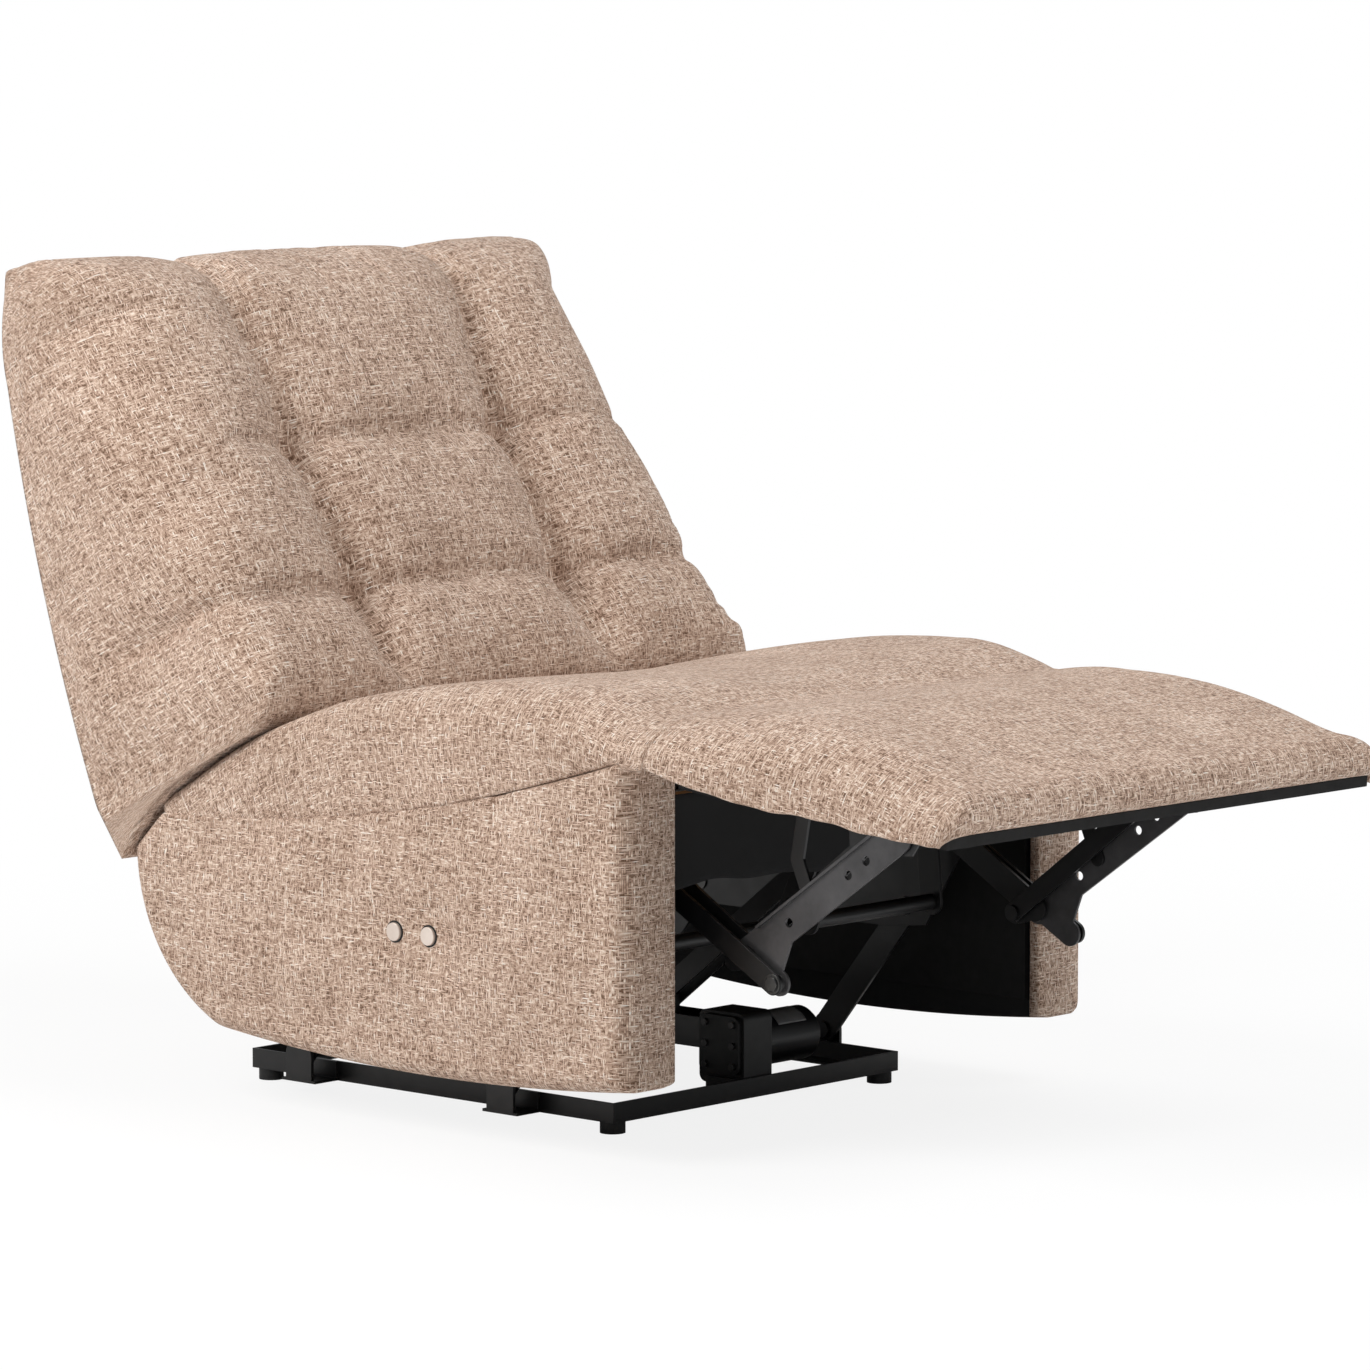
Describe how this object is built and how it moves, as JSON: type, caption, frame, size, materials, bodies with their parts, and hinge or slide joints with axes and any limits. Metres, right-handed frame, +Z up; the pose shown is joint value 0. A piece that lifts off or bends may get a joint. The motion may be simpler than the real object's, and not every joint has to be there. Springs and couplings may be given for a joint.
{
  "type": "power recliner chair",
  "caption": "Armless upholstered power recliner, shown open: tufted back, domed seat and padded footrest on a steel linkage driven by a screw actuator.",
  "frame": {"origin": "middle of the chair's footprint box at floor level, in the open pose that is stored", "axes": "+Z up, the sitter faces -Y, the sitter's right hand (the side with the buttons) is at -X"},
  "size_m": [0.798, 1.377, 0.9216],
  "materials": {
    "tweed": "matte",
    "black_cloth": "matte",
    "webbing": "matte",
    "dark_board": "matte",
    "frame_wood": "matte",
    "black_steel": "satin",
    "grey_steel": "satin",
    "zinc_steel": "satin",
    "black_plastic": "matte",
    "motor_steel": "satin",
    "bumper_rubber": "matte",
    "button_metal": "satin"
  },
  "bodies": {
    "base": {"base_side_rail_left": "black_steel", "base_side_rail_right": "black_steel", "base_front_rail": "black_steel", "base_rear_rail": "black_steel", "base_cross_bar": "black_steel", "base_feet": "black_plastic", "lift_brackets": "black_steel", "motor_bracket": "black_steel", "gearbox_housing": "black_plastic", "gearbox_cover": "black_plastic", "gearbox_screws": "zinc_steel", "motor_can": "motor_steel", "motor_end_cap": "black_plastic", "actuator_track": "black_steel", "track_support": "black_steel"},
    "front_lift": {"front_lift_links": "black_steel"},
    "rear_lift": {"rear_lift_links": "black_steel"},
    "recline_link": {"recline_links": "black_steel"},
    "seat": {"seat_side_plates": "black_steel", "seat_plate_bolts": "zinc_steel", "seat_pivot_pins": "zinc_steel", "seat_wood_side_rails": "frame_wood", "seat_wood_front_rail": "frame_wood", "seat_wood_rear_rail": "frame_wood", "seat_front_apron": "black_cloth", "seat_webbing": "webbing", "side_board_left": "dark_board", "side_board_right": "dark_board", "side_padding_left": "tweed", "side_padding_right": "tweed", "switch_box": "black_plastic", "button_sleeves": "black_plastic", "seat_cushion": "tweed"},
    "back": {"back_uprights": "frame_wood", "back_top_rail": "frame_wood", "back_bottom_rail": "frame_wood", "back_webbing": "webbing", "back_posts": "black_steel", "back_post_bolts": "zinc_steel", "back_cushion": "tweed", "back_outside_panel": "tweed"},
    "rear_link": {"footrest_rear_links": "black_steel", "torque_tubes": "black_steel", "drive_crank": "black_steel"},
    "control_link": {"footrest_control_links": "black_steel"},
    "channel": {"footrest_channels": "grey_steel", "footrest_stop_arms": "black_steel", "footrest_bumpers": "bumper_rubber"},
    "tilt_link": {"footrest_tilt_links": "black_steel"},
    "footrest": {"footrest_board": "dark_board", "footrest_brackets": "black_steel", "footrest_pad": "tweed"},
    "nut": {"drive_nut": "black_plastic"},
    "drive_link": {"drive_links": "black_steel"},
    "screw": {"lead_screw": "zinc_steel"},
    "button_open": {"button_open": "button_metal"},
    "button_close": {"button_close": "button_metal"}
  },
  "joints": [
    {"name": "carriage_front", "type": "hinge", "parent": "base", "child": "front_lift", "pos_m": [0, 0.03329, 0.042], "axis": [1, 0, 0], "range_deg": [-30.02, 0]},
    {"name": "carriage_level", "type": "hinge", "parent": "front_lift", "child": "seat", "pos_m": [0, -0.09171, 0.197], "axis": [1, 0, 0], "range_deg": [0, 30.02]},
    {"name": "footrest_drive", "type": "hinge", "parent": "seat", "child": "rear_link", "pos_m": [0, -0.14371, 0.312], "axis": [1, 0, 0], "range_deg": [0, 113.76]},
    {"name": "channel_fold", "type": "hinge", "parent": "rear_link", "child": "channel", "pos_m": [0, -0.30171, 0.217], "axis": [1, 0, 0], "range_deg": [-74.93, 0]},
    {"name": "footrest_fold", "type": "hinge", "parent": "channel", "child": "footrest", "pos_m": [0, -0.50671, 0.362], "axis": [1, 0, 0], "range_deg": [0, 46.15]},
    {"name": "tilt_link_fold", "type": "hinge", "parent": "rear_link", "child": "tilt_link", "pos_m": [0, -0.27471, 0.21], "axis": [1, 0, 0], "range_deg": [-77.72, 0]},
    {"name": "control_link_fold", "type": "hinge", "parent": "seat", "child": "control_link", "pos_m": [0, -0.16608, 0.29504], "axis": [1, 0, 0], "range_deg": [0, 108.85]},
    {"name": "back_recline", "type": "hinge", "parent": "seat", "child": "back", "pos_m": [0, 0.30829, 0.4], "axis": [1, 0, 0], "range_deg": [0, 16.02]},
    {"name": "carriage_rear", "type": "hinge", "parent": "base", "child": "rear_lift", "pos_m": [0, 0.34329, 0.042], "axis": [1, 0, 0], "range_deg": [-30.02, 0]},
    {"name": "recline_link_fold", "type": "hinge", "parent": "rear_lift", "child": "recline_link", "pos_m": [0, 0.19004, 0.23203], "axis": [1, 0, 0], "range_deg": [0, 30.73]},
    {"name": "nut_travel", "type": "slide", "parent": "base", "child": "nut", "axis": [0, 1, 0], "range_m": [0, 0.14372]},
    {"name": "drive_link_fold", "type": "hinge", "parent": "nut", "child": "drive_link", "pos_m": [0, 0.04829, 0.104], "axis": [1, 0, 0], "range_deg": [-9.76, 0]},
    {"name": "screw_spin", "type": "hinge", "parent": "base", "child": "screw", "pos_m": [0.005, 0.10829, 0.08], "axis": [0, 1, 0], "range_deg": [0, 4307.44]},
    {"name": "button_open_press", "type": "slide", "parent": "seat", "child": "button_open", "axis": [1, 0, 0], "range_m": [0, 0.002], "stiffness_N_per_m": 400},
    {"name": "button_close_press", "type": "slide", "parent": "seat", "child": "button_close", "axis": [1, 0, 0], "range_m": [0, 0.002], "stiffness_N_per_m": 400}
  ],
  "couplings": [
    {"joint": "carriage_front", "follows": "footrest_drive", "ratio": -0.26371},
    {"joint": "carriage_level", "follows": "footrest_drive", "ratio": 0.26371},
    {"joint": "channel_fold", "follows": "footrest_drive", "ratio": -0.65849},
    {"joint": "footrest_fold", "follows": "footrest_drive", "ratio": 0.40546},
    {"joint": "tilt_link_fold", "follows": "footrest_drive", "ratio": -0.68297},
    {"joint": "control_link_fold", "follows": "footrest_drive", "ratio": 0.95664},
    {"joint": "back_recline", "follows": "footrest_drive", "ratio": 0.14065},
    {"joint": "carriage_rear", "follows": "footrest_drive", "ratio": -0.26371},
    {"joint": "recline_link_fold", "follows": "footrest_drive", "ratio": 0.26997},
    {"joint": "nut_travel", "follows": "footrest_drive", "m_per_rad": 0.072281},
    {"joint": "drive_link_fold", "follows": "footrest_drive", "ratio": -0.085637},
    {"joint": "screw_spin", "follows": "footrest_drive", "ratio": 37.847}
  ]
}
